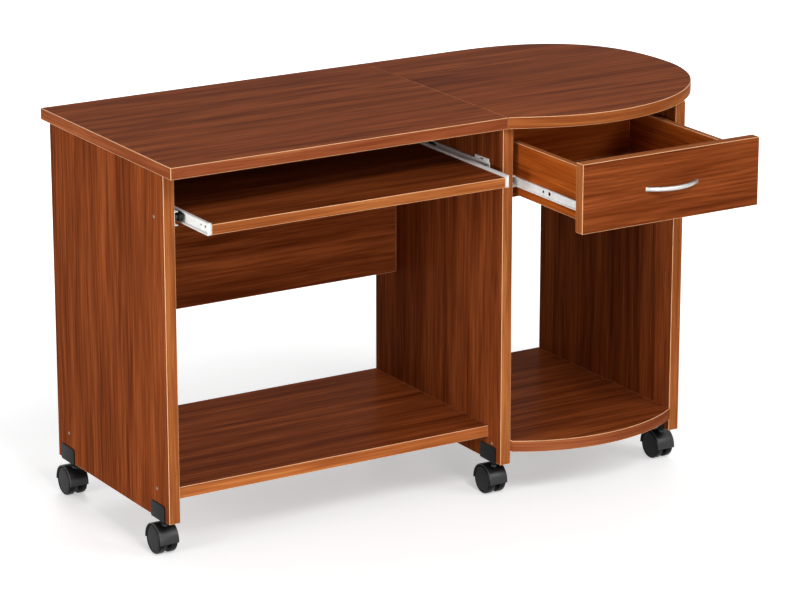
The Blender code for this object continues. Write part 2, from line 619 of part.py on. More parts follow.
def make_casters(desk, enamel, plastic, steel):
    """Two casters under each panel, set in from its front and back edges."""
    body_mesh, sleeve_bottom = caster_body_mesh()
    tall_bracket = bracket_mesh(sleeve_bottom, BRACKET_RISE)
    low_bracket = bracket_mesh(sleeve_bottom, BAY_BRACKET_RISE)
    roller = wheel_mesh()
    near = CASTER_WEB / 2 + CASTER_PLAY
    half_axle = near + WHEEL_WIDTH - WHEEL_COVER - CASTER_PLAY
    pin = prism_mesh("axle", circle(AXLE_RADIUS, AXLE_SIDES), -half_axle, half_axle, "X", smooth=True)
    half_panel = PANEL_THICKNESS / 2
    for row, x, front, back, bracket in (
        ("left", LEFT_OUTER + half_panel, LEFT_FRONT, LEFT_BACK, tall_bracket),
        ("middle", MIDDLE_LEFT + half_panel, BAY_FRONT, MIDDLE_BACK, tall_bracket),
        ("right", RIGHT_INNER + half_panel, BAY_FRONT, RIGHT_BACK, low_bracket),
    ):
        for end, y in (("front", front + CASTER_INSET), ("back", back - CASTER_INSET)):
            place = f"{row}_{end}"
            put(f"caster_bracket_{place}", bracket, (x, y, 0), enamel, desk)
            swivel = stand(f"swivel_{place}", (x, y, 0), desk)
            put(f"caster_body_{place}", body_mesh, (x, y, 0), plastic, swivel)
            axle = (x, y + CASTER_TRAIL, AXLE_HEIGHT)
            put(f"caster_axle_{place}", pin, axle, steel, swivel)
            for side, turn in (("left", math.pi), ("right", 0)):
                inner_face = (x + near * math.cos(turn), axle[1], axle[2])
                wheel = put(f"caster_wheel_{place}_{side}", roller, inner_face, plastic, swivel)
                wheel.rotation_euler = (0, 0, turn)


def make_screw(name, face, y, z, depth, steel, desk):
    """A joining screw driven along X into a panel's left face. Returns the drill that makes room for it."""
    profile = [(-SCREW_HEAD_HEIGHT, 0), (-SCREW_HEAD_HEIGHT, SCREW_HEAD_RADIUS - SCREW_HEAD_HEIGHT / 2),
               (-SCREW_HEAD_HEIGHT / 2, SCREW_HEAD_RADIUS), (0, SCREW_HEAD_RADIUS),
               (0, SCREW_SHANK_RADIUS), (depth, SCREW_SHANK_RADIUS), (depth, 0)]
    put(name, revolved_mesh(name, profile, SCREW_SIDES), (face - GAP, y, z), steel, desk)
    hole = (SCREW_SHANK_RADIUS + GAP) / math.cos(math.pi / SCREW_SIDES)
    drill = prism_mesh(f"drill_{name}", circle(hole, SCREW_SIDES), -SCREW_HEAD_HEIGHT, depth + GAP, "X")
    return put(drill.name, drill, (face - GAP, y, z), steel, desk)


def make_screws(desk, steel, tray_rail):
    """Screws through the left and middle panels into the shelves, and one into the tray's left rail."""
    pieces = bpy.data.objects
    shelf = pieces["bottom_shelf"]
    bay_shelf = pieces["extension_shelf"]
    long_screw = GAP + PANEL_THICKNESS + SCREW_BITE
    rail_screw = 2 * GAP + PANEL_THICKNESS + SLIDE_WALL
    shelf_height = SHELF_TOP - SHELF_THICKNESS / 2
    bay_height = (EXTENSION_SHELF_BOTTOM + EXTENSION_SHELF_TOP) / 2
    rail_height = TRAY_BOTTOM + TRAY_RUNNER_HEIGHT / 2
    left = (pieces["left_panel"], LEFT_OUTER)
    middle = (pieces["middle_panel"], MIDDLE_LEFT)
    for name, (panel, face), y, z, depth, held in (
        ("shelf_screw_front", left, LEFT_FRONT + SHELF_SCREW_FRONT, shelf_height, long_screw, shelf),
        ("shelf_screw_back", left, MIDDLE_BACK - SHELF_SCREW_BACK, shelf_height, long_screw, shelf),
        ("extension_screw_front", middle, BAY_FRONT + EXTENSION_SCREW_FRONT, bay_height, long_screw,
         bay_shelf),
        ("extension_screw_back", middle, RIGHT_BACK - EXTENSION_SCREW_BACK, bay_height, long_screw,
         bay_shelf),
        ("tray_rail_screw", left, LEFT_FRONT + TRAY_SCREW_FRONT, rail_height, rail_screw, tray_rail),
    ):
        drill = make_screw(name, face, y, z, depth, steel, desk)
        combine(panel, drill, "DIFFERENCE")
        combine(held, drill, "DIFFERENCE")


def main():
    clear_scene()
    wood = finish("cherry_laminate", (0.20, 0.055, 0.018), 0.38)
    enamel = finish("white_enamel", (0.80, 0.80, 0.78), 0.35)
    nickel = finish("satin_nickel", (0.72, 0.71, 0.69), 0.28, 1.0)
    black_enamel = finish("black_enamel", (0.010, 0.010, 0.011), 0.45)
    plastic = finish("black_plastic", (0.012, 0.012, 0.013), 0.40)
    steel = finish("zinc_steel", (0.62, 0.60, 0.56), 0.35, 1.0)
    desk = stand("desk", (0, 0, 0))
    make_carcase(desk, wood)
    rails = make_tray(desk, wood, enamel)
    make_drawer(desk, wood, enamel, nickel)
    make_casters(desk, black_enamel, plastic, steel)
    make_screws(desk, steel, rails[0])


main()
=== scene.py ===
# %% [markdown]
# # A computer desk on casters
#
# The desk is a flat-pack piece: laminated boards, pressed steel slides, plastic casters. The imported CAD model
# already says where every board is, so this lesson dresses that frame. Each board gets rounded, banded edges
# and wood grain, each slide its folded section, each caster its moulded hood. We read places from the frame
# instead of typing them again, so nothing has to be fitted by hand.

import bpy
import numpy as np
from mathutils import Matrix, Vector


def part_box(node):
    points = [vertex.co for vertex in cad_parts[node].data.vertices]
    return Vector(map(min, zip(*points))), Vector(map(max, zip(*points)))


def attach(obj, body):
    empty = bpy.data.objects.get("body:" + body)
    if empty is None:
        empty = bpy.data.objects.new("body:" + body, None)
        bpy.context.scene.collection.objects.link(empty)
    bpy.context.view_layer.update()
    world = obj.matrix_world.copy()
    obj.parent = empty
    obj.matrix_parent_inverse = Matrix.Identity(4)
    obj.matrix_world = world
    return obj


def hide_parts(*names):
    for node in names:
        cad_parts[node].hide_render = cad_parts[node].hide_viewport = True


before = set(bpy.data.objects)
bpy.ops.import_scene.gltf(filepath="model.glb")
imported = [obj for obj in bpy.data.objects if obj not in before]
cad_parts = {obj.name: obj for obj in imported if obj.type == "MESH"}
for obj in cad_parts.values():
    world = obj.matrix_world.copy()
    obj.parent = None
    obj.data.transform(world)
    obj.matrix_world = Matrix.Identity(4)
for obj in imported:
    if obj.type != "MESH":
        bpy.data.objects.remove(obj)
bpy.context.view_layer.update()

# %% [markdown]
# ## Camera
#
# A long lens far away keeps the desk's uprights nearly parallel, as in a catalogue picture. The place was
# worked out by fitting a pinhole camera to the desk's corners. It could also be set by eye, but a fitted
# camera lets us compare edges with the photograph. Its place is measured across from the worktop's front left
# corner and up from the floor, and it has no shift.

# %% Camera
DESK_CORNER = np.array(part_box("main_top")[0])
CAMERA_PLACE = np.array((-2.7628, -5.2911, 2.3206))
CAMERA_PITCH_DOWN = np.radians(16.9)
CAMERA_YAW = np.radians(-31.4)
CAMERA_LENS_MM = 159.5
CAMERA_SENSOR_MM = 36.0

camera_data = bpy.data.cameras.new("camera")
camera_data.lens = CAMERA_LENS_MM
camera_data.sensor_width = CAMERA_SENSOR_MM
camera = bpy.data.objects.new("camera", camera_data)
bpy.context.scene.collection.objects.link(camera)
camera.location = (DESK_CORNER[0] + CAMERA_PLACE[0], DESK_CORNER[1] + CAMERA_PLACE[1], CAMERA_PLACE[2])
camera.rotation_euler = (np.pi / 2 - CAMERA_PITCH_DOWN, 0, CAMERA_YAW)
bpy.context.scene.camera = camera
print("camera at", [round(c, 3) for c in camera.location])

# %% [markdown]
# ## Colours and nodes
#
# Colours are easiest to judge as the hex values of a screen, but the renderer works in linear light, so one
# function converts them. A second small function adds a shader node, sets its options and wires its inputs: a
# socket is linked, and any other value is typed into the input. Every material below is a few calls of it.

# %% Colour and node helpers
def linear(hex_colour):
    """sRGB hex to linear RGBA: ((c + 0.055) / 1.055) to the power 2.4, or c / 12.92 near black."""
    channel = np.array([int(hex_colour[i:i + 2], 16) for i in (1, 3, 5)]) / 255
    light = np.where(channel > 0.04045, ((channel + 0.055) / 1.055) ** 2.4, channel / 12.92)
    return (*light, 1.0)


def node(tree, kind, inputs=None, **options):
    """Add a node, set its options, then link each input that is a socket and type in each that is a value."""
    made = tree.nodes.new(kind)
    for option, value in options.items():
        setattr(made, option, value)
    for key, value in (inputs or {}).items():
        if isinstance(value, bpy.types.NodeSocket):
            tree.links.new(value, made.inputs[key])
        else:
            made.inputs[key].default_value = value
    return made


def blank_material(name):
    """A material with only its output and Principled shader."""
    material = bpy.data.materials.new(name)
    material.use_nodes = True
    return material, material.node_tree, material.node_tree.nodes["Principled BSDF"]


# A Mix node's colour inputs and its colour output, by number, because several of its sockets share a name.
MIX_A, MIX_B, MIX_COLOUR = 6, 7, 2
print("linear check, mid grey:", round(linear("#808080")[0], 3))

# %% [markdown]
# ## Cherry laminate
#
# The boards are particle board faced with a printed cherry film under a satin melamine coat. The print shows
# soft bands two to three centimetres wide, finer lines of a few millimetres, and short dark pores, all drawn
# out along the grain. A wood texture node could make rings, but printed film has none, so stretched noise is
# closer. One warp bends all the lines together, and an attribute on each board shifts the pattern so that no
# two boards match. The edges carry a tape with the same print, which follows the edge round, so its pattern
# is laid out on a UV map.

# %% Cherry laminate
GRAIN_TURN = {"x": (0, 0, 0), "y": (0, 0, np.pi / 2), "z": (0, np.pi / 2, 0), "tape": (0, 0, 0)}
BAND_MM, BAND_LENGTH_MM = 26.0, 480.0
LINE_MM, LINE_LENGTH_MM = 5.0, 170.0
# Real pores are about 0.3 mm wide. They are drawn coarser, or they would blur away at this distance.
PORE_MM, PORE_LENGTH_MM = 2.0, 60.0
WARP_MM, WARP_WIDTH_MM, WARP_LENGTH_MM = 6.0, 100.0, 300.0
WARP_DETAIL, STREAK_DETAIL, PORE_DETAIL = 1.5, 2.0, 1.0
BAND_SHARE, LINE_SHARE, PORE_SHARE = 0.5, 0.5, 0.38
# Noise seldom leaves the middle of its range, so each pattern is stretched between two of its values.
STREAK_LOW, STREAK_HIGH = 0.25, 0.75
PORE_DEEP, PORE_EDGE = 0.30, 0.44
TONE_DARK, TONE_MIDDLE, TONE_LIGHT = 0.2, 0.5, 0.8
FILM_GLOSS_SPREAD = 0.05
FILM_BUMP_STRENGTH, FILM_BUMP_MM = 0.10, 0.2
FILM_SPECULAR = 0.002


def grain_scale(length_mm, width_mm):
    """Cells per metre along the grain and across it, for a streak of that length and width."""
    return (1000 / length_mm, 1000 / width_mm, 1000 / width_mm)


def cherry_laminate(grain, name, dark, middle, light, roughness):
    """Printed cherry film: bands and finer lines set a tone from dark to light, and pores darken it."""
    material, tree, shader = blank_material(name)
    place = node(tree, "ShaderNodeTexCoord").outputs["UV" if grain == "tape" else "Object"]
    board = node(tree, "ShaderNodeAttribute", attribute_name="board").outputs["Fac"]
    shift = node(tree, "ShaderNodeCombineXYZ", {"X": board, "Y": board, "Z": board}).outputs[0]
    shifted = node(tree, "ShaderNodeVectorMath", {0: place, 1: shift}, operation="ADD").outputs[0]
    grained = node(tree, "ShaderNodeMapping", {"Vector": shifted, "Rotation": GRAIN_TURN[grain]}).outputs[0]
    slow_scale = grain_scale(WARP_LENGTH_MM, WARP_WIDTH_MM)
    slow = node(tree, "ShaderNodeVectorMath", {0: grained, 1: slow_scale}, operation="MULTIPLY").outputs[0]
    wave = node(tree, "ShaderNodeTexNoise", {"Vector": slow, "Scale": 1.0, "Detail": WARP_DETAIL})
    centred = node(tree, "ShaderNodeVectorMath", {0: wave.outputs["Color"], 1: (0.5, 0.5, 0.5)},
                   operation="SUBTRACT").outputs[0]
    # The centred wave runs from minus a half to a half, so twice the warp bends a line by the warp at most.
    warp = WARP_MM / 1000 * 2
    bent = node(tree, "ShaderNodeVectorMath", {0: centred, 1: (warp, warp, warp), 2: grained},
                operation="MULTIPLY_ADD").outputs[0]
    streaks = []
    for length, width, detail in ((BAND_LENGTH_MM, BAND_MM, STREAK_DETAIL),
                                  (LINE_LENGTH_MM, LINE_MM, STREAK_DETAIL),
                                  (PORE_LENGTH_MM, PORE_MM, PORE_DETAIL)):
        scale = grain_scale(length, width)
        drawn = node(tree, "ShaderNodeVectorMath", {0: bent, 1: scale}, operation="MULTIPLY").outputs[0]
        streak = node(tree, "ShaderNodeTexNoise", {"Vector": drawn, "Scale": 1.0, "Detail": detail})
        streaks.append(streak.outputs["Fac"])
    band = node(tree, "ShaderNodeMapRange", {"Value": streaks[0], 1: STREAK_LOW, 2: STREAK_HIGH}).outputs[0]
    line = node(tree, "ShaderNodeMapRange", {"Value": streaks[1], 1: STREAK_LOW, 2: STREAK_HIGH}).outputs[0]
    pore = node(tree, "ShaderNodeMapRange", {"Value": streaks[2], 1: PORE_DEEP, 2: PORE_EDGE,
                                             3: PORE_SHARE, 4: 0.0}).outputs[0]
    banded = node(tree, "ShaderNodeMath", {0: band, 1: BAND_SHARE}, operation="MULTIPLY").outputs[0]
    tone = node(tree, "ShaderNodeMath", {0: line, 1: LINE_SHARE, 2: banded},
                operation="MULTIPLY_ADD").outputs[0]
    low = node(tree, "ShaderNodeMapRange", {"Value": tone, 1: TONE_DARK, 2: TONE_MIDDLE}).outputs[0]
    high = node(tree, "ShaderNodeMapRange", {"Value": tone, 1: TONE_MIDDLE, 2: TONE_LIGHT}).outputs[0]
    base = node(tree, "ShaderNodeMix", {0: low, MIX_A: linear(dark), MIX_B: linear(middle)}, data_type="RGBA")
    warm = node(tree, "ShaderNodeMix", {0: high, MIX_A: base.outputs[MIX_COLOUR], MIX_B: linear(light)},
                data_type="RGBA")
    colour = node(tree, "ShaderNodeMix", {0: pore, MIX_A: warm.outputs[MIX_COLOUR], MIX_B: linear(dark)},
                  data_type="RGBA").outputs[MIX_COLOUR]
    gloss = node(tree, "ShaderNodeMapRange", {"Value": streaks[1], 3: roughness - FILM_GLOSS_SPREAD,
                                              4: roughness + FILM_GLOSS_SPREAD}).outputs[0]
    bump = node(tree, "ShaderNodeBump", {"Height": streaks[2], "Strength": FILM_BUMP_STRENGTH,
                                         "Distance": FILM_BUMP_MM / 1000}).outputs[0]
    tree.links.new(colour, shader.inputs["Base Color"])
    tree.links.new(gloss, shader.inputs["Roughness"])
    tree.links.new(bump, shader.inputs["Normal"])
    shader.inputs["Specular IOR Level"].default_value = FILM_SPECULAR
    return material


# The face film: red-brown, calm, with long streaks. Its satin coat shines only where it is seen very low.
FACE_COLOURS = ("#5d2810", "#803e1c", "#9c5027")
LAMINATE = {grain: cherry_laminate(grain, f"cherry_laminate_{grain}", *FACE_COLOURS, 0.30) for grain in "xyz"}
# The drawer box's film: a lighter, more orange print, as on bought-in drawer sides.
DRAWER_COLOURS = ("#823b12", "#a44f1a", "#c06529")
DRAWER_FILM = {grain: cherry_laminate(grain, f"cherry_drawer_film_{grain}", *DRAWER_COLOURS, 0.34)
               for grain in "xy"}
# The edge tape: the same print in a paler batch, running along every edge.
EDGE_TAPE = cherry_laminate("tape", "cherry_edge_tape", "#864520", "#a0592d", "#b9723d", 0.38)
# Two boards have a redder batch of the tape, closer to the face film. The bottom shelf's tape is paler as
# painted light: its edge sits back under the tray and the worktop, and the lighter colour stands in for the
# front light that does not reach it.
RED_TAPE = cherry_laminate("tape", "cherry_edge_tape_red", "#7a3c20", "#914c2c", "#a9633c", 0.38)
PAINTED_LIGHT_TAPE = cherry_laminate("tape", "cherry_edge_tape_painted_light", "#974f25", "#b46534", "#cf8146", 0.38)
TAPES = {"main_top": RED_TAPE, "extension_shelf": RED_TAPE, "bottom_shelf": PAINTED_LIGHT_TAPE}
films = (*LAMINATE.values(), *DRAWER_FILM.values(), EDGE_TAPE, RED_TAPE, PAINTED_LIGHT_TAPE)
print("laminates:", [film.name for film in films])

# %% [markdown]
# ## Pale arris
#
# Where the face film meets the edge tape, the trimmer leaves a thin pale line on each corner of a board. It
# outlines the whole desk, so it is real geometry with a finish of its own: a tan lacquer with a little
# mottling. Its colour is partly that line and partly a painted highlight: it is as pale as a lit upper edge,
# and every corner, lower and shaded ones too, gets it. The same small function, two close colours in soft
# blotches, will serve the hardware below.

# %% Pale arris
BLOTCH_LOW, BLOTCH_HIGH = 0.35, 0.65
BLOTCH_DETAIL = 3.0
BLOTCH_GLOSS_SPREAD = 0.06
BLOTCH_BUMP_STRENGTH = 0.3


def mottled(name, first, second, size_mm, roughness, specular=0.5, metallic=0.0, bump_mm=0.02):
    """Two close colours in soft blotches of a given size, for finishes that are almost plain."""
    material, tree, shader = blank_material(name)
    place = node(tree, "ShaderNodeTexCoord").outputs["Object"]
    blotch = node(tree, "ShaderNodeTexNoise", {"Vector": place, "Scale": 1000 / size_mm,
                                               "Detail": BLOTCH_DETAIL}).outputs["Fac"]
    spread = node(tree, "ShaderNodeMapRange", {"Value": blotch, 1: BLOTCH_LOW, 2: BLOTCH_HIGH}).outputs[0]
    colour = node(tree, "ShaderNodeMix", {0: spread, MIX_A: linear(first), MIX_B: linear(second)},
                  data_type="RGBA")
    gloss = node(tree, "ShaderNodeMapRange", {"Value": blotch, 3: roughness - BLOTCH_GLOSS_SPREAD,
                                              4: roughness + BLOTCH_GLOSS_SPREAD}).outputs[0]
    dent = node(tree, "ShaderNodeBump", {"Height": blotch, "Strength": BLOTCH_BUMP_STRENGTH,
                                         "Distance": bump_mm / 1000}).outputs[0]
    tree.links.new(colour.outputs[MIX_COLOUR], shader.inputs["Base Color"])
    tree.links.new(gloss, shader.inputs["Roughness"])
    tree.links.new(dent, shader.inputs["Normal"])
    shader.inputs["Specular IOR Level"].default_value = specular
    shader.inputs["Metallic"].default_value = metallic
    return material


# A trimmed and lacquered edge: pale, slightly uneven, and paler still by a painted highlight along its length.
PALE_ARRIS_AND_HIGHLIGHT = mottled("lacquered_arris_and_painted_highlight", "#dba477", "#e6b489", 25.0, 0.42, specular=0.1)
print("arris finish:", PALE_ARRIS_AND_HIGHLIGHT.name)

# %% [markdown]
# ## Surfaces from grids
#
# Every new piece is a grid of points worked out by numpy. Rows run one way over the surface and columns the
# other, and four neighbours make a face. A surface that comes back to its start joins its last column to its
# first. The alternative, moving vertices one by one in edit mode, is slower and hides the formula.

# %% Grid helpers
SHARP_ANGLE = np.radians(32)


def grid_faces(rows, columns, loop=True, ring=False):
    """Quads between neighbours: row i, column j to i + 1, j + 1. Loop joins the last column to the first, and
    ring the last row to the first."""
    i = np.arange(rows if ring else rows - 1)[:, None]
    j = np.arange(columns if loop else columns - 1)[None, :]
    down = (i + 1) % rows
    right = (j + 1) % columns
    corners = (i * columns + j, i * columns + right, down * columns + right, down * columns + j)
    return np.stack(np.broadcast_arrays(*corners), -1).reshape(-1, 4).tolist()


def capped(grid):
    """A tube's grid of rows of a closed section, with one flat face over each end."""
    rows, columns = grid.shape[:2]
    last = np.arange((rows - 1) * columns, rows * columns)
    faces = grid_faces(rows, columns) + [np.arange(columns)[::-1].tolist(), last.tolist()]
    return grid.reshape(-1, 3), faces


def make_piece(name, shells, materials, body, nodes=(), face_slots=None, flat_faces=None, tape=None,
               board=0.0):
    """One object from shells of (points, faces), riding on a body in place of CAD nodes. A board also gives
    each face's material and shading, the UV of its tape and the shift of its pattern."""
    start = np.cumsum([0] + [len(points) for points, _ in shells])
    points = np.concatenate([points for points, _ in shells])
    faces = [[corner + first for corner in face] for (_, part), first in zip(shells, start) for face in part]
    mesh = bpy.data.meshes.new(name)
    mesh.from_pydata(points.tolist(), [], faces)
    for material in materials:
        mesh.materials.append(material)
    mesh.polygons.foreach_set("use_smooth", np.ones(len(faces), bool) if flat_faces is None else ~flat_faces)
    if face_slots is not None:
        mesh.polygons.foreach_set("material_index", face_slots)
    if flat_faces is None:
        mesh.set_sharp_from_angle(angle=SHARP_ANGLE)
    if tape is not None:
        mesh.uv_layers.new(name="tape").data.foreach_set("uv", tape.astype(np.float32).ravel())
    shift = mesh.attributes.new("board", "FLOAT", "POINT")
    shift.data.foreach_set("value", np.full(len(points), board, np.float32))
    mesh.validate()
    piece = bpy.data.objects.new(name, mesh)
    bpy.context.scene.collection.objects.link(piece)
    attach(piece, body)
    if nodes:
        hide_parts(*nodes)
    return piece


print("a 3 by 4 looped grid has", len(grid_faces(3, 4)), "faces")

# %% [markdown]
# ## Boards
#
# A board is an edge profile carried round its outline. The profile starts on the lower face, turns round the
# lower arris, climbs the edge tape and turns round the upper arris. Carried round the outline it makes the
# taped edge, and two flat faces close it. A cube with a bevel would look alike, but then the tape and the
# arris could not have a finish of their own, and the round worktop would need another method. The tape's UV
# map is the distance run along the edge and the distance climbed, in metres, so its print keeps its real
# size.

# %% Board maker
ARRIS_MM = 1.0
ARRIS_STEPS = 3
CORNER_STEPS = 4
FACE, TAPE, ARRIS = 0, 1, 2
# An outline with fewer points than this is straight-sided, so its tape is shaded flat.
STRAIGHT_POINTS = 40


def rectangle_outline(low, high, radius=ARRIS_MM / 1000):
    """Four quarter circles, one about each corner's centre, counter-clockwise from the far right."""
    quarter = np.linspace(0, np.pi / 2, CORNER_STEPS + 1)
    turn = np.tile(quarter, 4) + np.repeat(np.arange(4) * np.pi / 2, CORNER_STEPS + 1)
    right, left = high[0] - radius, low[0] + radius
    far, near = high[1] - radius, low[1] + radius
    across = np.repeat([right, left, left, right], CORNER_STEPS + 1)
    along = np.repeat([far, far, near, near], CORNER_STEPS + 1)
    return np.stack([across + radius * np.cos(turn), along + radius * np.sin(turn)], -1)


def corner_arc(corner, before, after):
    """A quarter-like arc that rounds a corner between two directions: a quadratic curve from leg to leg."""
    radius = ARRIS_MM / 1000
    t = np.linspace(0, 1, CORNER_STEPS + 1)[:, None]
    start = np.array(corner) - radius * np.array(before)
    end = np.array(corner) + radius * np.array(after)
    return (1 - t) ** 2 * start + 2 * t * (1 - t) * np.array(corner) + t ** 2 * end


def board_shell(outline, bottom, top, axis):
    """Edge profile carried round an outline: point = outline - inset * outward normal, at the profile's
    height. Returns the shell, each face's finish, which faces are flat, and the UV of each face's corners."""
    radius = ARRIS_MM / 1000
    tangent = np.roll(outline, -1, 0) - np.roll(outline, 1, 0)
    normal = np.stack([tangent[:, 1], -tangent[:, 0]], -1)
    normal /= np.linalg.norm(normal, axis=1, keepdims=True)
    turn = np.linspace(0, np.pi / 2, ARRIS_STEPS + 1)
    inset = radius * (1 - np.concatenate([np.sin(turn), np.cos(turn)]))
    height = np.concatenate([bottom + radius * (1 - np.cos(turn)), top - radius * (1 - np.sin(turn))])
    rows, columns = len(inset), len(outline)
    plan = outline[None] - inset[:, None, None] * normal[None]
    local = np.concatenate([plan, np.broadcast_to(height[:, None, None], (rows, columns, 1))], -1)
    shell = capped(np.roll(local, axis + 1, -1))
    step = np.linalg.norm(np.roll(outline, -1, 0) - outline, axis=1)
    finish = np.full((rows - 1, columns), ARRIS)
    finish[ARRIS_STEPS] = np.where(step < radius, ARRIS, TAPE)
    flat = np.zeros((rows - 1, columns), bool)
    flat[ARRIS_STEPS] = columns < STRAIGHT_POINTS
    run = np.cumsum(step) - step
    along = np.stack([run, run + step, run + step, run], -1)
    climb = np.stack([height[:-1], height[:-1], height[1:], height[1:]], -1)
    sides = np.stack(np.broadcast_arrays(along[None], climb[:, None]), -1)
    tape = np.concatenate([sides.reshape(-1, 2), np.zeros((2 * columns, 2))])
    return shell, np.append(finish.ravel(), [FACE, FACE]), np.append(flat.ravel(), [True, True]), tape


def dress_board(name, outline, bottom, top, axis, film, body, shift, butted=None):
    """A board in its film, tape and arris. Where it butts against a neighbour, its arris is only tape."""
    shell, finish, flat, tape = board_shell(outline, bottom, top, axis)
    if butted is not None:
        arris = finish[:-2].reshape(-1, len(outline))
        arris[:, butted & np.roll(butted, -1)] = TAPE
    finishes = [film, TAPES.get(name, EDGE_TAPE), PALE_ARRIS_AND_HIGHLIGHT]
    return make_piece(f"{name}_board", [shell], finishes, body, [name],
                      finish, flat, tape, shift)


X, Y, Z = 0, 1, 2
print("one arris has", ARRIS_STEPS, "steps over", ARRIS_MM, "mm")

# %% [markdown]
# ## Rectangular boards
#
# For each board we name the axis across its thickness and the film on it. The grain runs along the worktops,
# shelves and fronts, and up the panels. The drawer's sides have it along their length.

# %% Rectangular boards
BOARDS = (
    ("main_top", Z, LAMINATE["x"], "desk"), ("bottom_shelf", Z, LAMINATE["x"], "desk"),
    ("left_panel", X, LAMINATE["z"], "desk"), ("middle_panel", X, LAMINATE["z"], "desk"),
    ("right_panel", X, LAMINATE["z"], "desk"), ("modesty_panel", Y, LAMINATE["x"], "desk"),
    ("extension_back_panel", Y, LAMINATE["x"], "desk"), ("keyboard_tray", Z, LAMINATE["x"], "tray"),
    ("drawer_front", Y, LAMINATE["x"], "drawer"), ("drawer_side_left", X, DRAWER_FILM["y"], "drawer"),
    ("drawer_side_right", X, DRAWER_FILM["y"], "drawer"), ("drawer_back", Y, DRAWER_FILM["x"], "drawer"),
    ("drawer_bottom", Z, DRAWER_FILM["x"], "drawer"),
)
BOARD_SHIFT = 1.37

for count, (name, axis, film, body) in enumerate(BOARDS):
    low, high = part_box(name)
    first, second = (axis + 1) % 3, (axis + 2) % 3
    outline = rectangle_outline((low[first], low[second]), (high[first], high[second]))
    dress_board(name, outline, low[axis], high[axis], axis, film, body, count * BOARD_SHIFT)
print("rectangular boards:", len(BOARDS))

# %% [markdown]
# ## Round-ended worktop and shelf
#
# The extension leaves the seam along a short straight edge, follows an ellipse round the front, and comes
# back round a slightly squarer curve. The shelf below follows the same ellipse, a little smaller. An ellipse
# is a cosine along and a sine across, and raising both to a power below one squares it, so both outlines are
# one formula. Their sharp corners are rounded like every other board's. Where the two worktops meet, the real
# desk shows one fine tan line and not two, so this one's end keeps no pale arris.

# %% Round-ended boards
ROUND_HALF_LENGTH = 0.316
ROUND_HALF_DEPTH = 0.286
ROUND_BACK_POWER = 2.5
SHELF_INSET = 0.009
ROUND_STEPS = 60
BUTT = 2 * ARRIS_MM / 1000
EXTENSION_TOP_SHIFT, EXTENSION_SHELF_SHIFT = 19.3, 21.1

ext_low, ext_high = (np.array(corner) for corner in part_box("extension_top"))
round_centre = np.array((ext_high[0] - ROUND_HALF_LENGTH, ext_high[1] - ROUND_HALF_DEPTH))


def round_edge(inset, start, end, steps, power=2.0):
    """Centre + half length * cos and half depth * sin, each to the power 2 / power, between two angles."""
    angle = np.linspace(start, end, steps + 1)
    turn = np.stack([np.cos(angle), np.sin(angle)], -1)
    size = np.array((ROUND_HALF_LENGTH - inset, ROUND_HALF_DEPTH - inset))
    return round_centre + size * np.sign(turn) * np.abs(turn) ** (2 / power)


seam_front = np.array((ext_low[0], DESK_CORNER[1]))
seam_back = np.array((ext_low[0], ext_high[1]))
leg = (seam_front - round_centre) / (ROUND_HALF_LENGTH, ROUND_HALF_DEPTH)
tangent_angle = np.arctan2(leg[1], leg[0]) + np.arccos(1 / np.linalg.norm(leg))
front_curve = round_edge(0, tangent_angle, 0, ROUND_STEPS)
back_curve = round_edge(0, 0, np.pi / 2, ROUND_STEPS, ROUND_BACK_POWER)[1:]
lead = (front_curve[0] - seam_front) / np.linalg.norm(front_curve[0] - seam_front)
outline = np.concatenate([corner_arc(seam_front, (0, -1), lead), front_curve, back_curve,
                          corner_arc(seam_back, (-1, 0), (0, -1))])
dress_board("extension_top", outline, ext_low[2], ext_high[2], Z, LAMINATE["x"], "desk", EXTENSION_TOP_SHIFT,
            outline[:, 0] < ext_low[0] + BUTT)

low, high = (np.array(corner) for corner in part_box("extension_shelf"))
side = (np.array((low[0], high[0])) - round_centre[0]) / (ROUND_HALF_LENGTH - SHELF_INSET)
curve = round_edge(SHELF_INSET, -np.arccos(side[0]), -np.arccos(side[1]), ROUND_STEPS // 2)
outline = np.concatenate([curve, corner_arc((high[0], high[1]), (0, 1), (-1, 0)),
                          corner_arc((low[0], high[1]), (-1, 0), (0, -1))])
dress_board("extension_shelf", outline, low[2], high[2], Z, LAMINATE["x"], "desk", EXTENSION_SHELF_SHIFT)
print("ellipse centre", round_centre.round(4))

# %% [markdown]
# ## Hardware finishes
#
# A few plain finishes cover the hardware: white baked enamel on the slides, satin nickel on the handle, black
# moulded plastic on the casters, and black enamel or dull zinc on the small steel. Each is almost one colour,
# so a faint mottling and an uneven gloss are enough to keep them from looking like paint swatches.

# %% Hardware finishes
# Baked enamel: an even white with a soft orange-peel shine.
WHITE_ENAMEL = mottled("white_baked_enamel", "#e9e9e7", "#f3f3f1", 14.0, 0.36, specular=0.3)
# Brushed and plated nickel: a grey metal with a broad, soft highlight.
SATIN_NICKEL = mottled("satin_nickel_plate", "#b0aeac", "#bdbbb9", 6.0, 0.40, metallic=1.0, bump_mm=0.01)
# Moulded nylon: near black, finely pebbled, with a broad grey sheen.
BLACK_PLASTIC = mottled("black_moulded_nylon", "#060607", "#0b0b0c", 5.0, 0.38, specular=0.5, bump_mm=0.03)
# The wheels' nylon: the same black with a much weaker sheen.
TREAD_PLASTIC = mottled("black_wheel_nylon", "#060607", "#0b0b0c", 7.0, 0.34, specular=0.13, bump_mm=0.03)
# Enamelled steel: black, smooth, flat in the light.
BLACK_ENAMEL = mottled("black_enamelled_steel", "#09090a", "#0f0f10", 9.0, 0.46, specular=0.12, bump_mm=0.03)
# Zinc plate gone dull: a grey-brown metal that no longer mirrors.
ZINC = mottled("dull_zinc_plate", "#7d6a58", "#97836f", 2.0, 0.5, metallic=0.6)
print("hardware finishes ready")

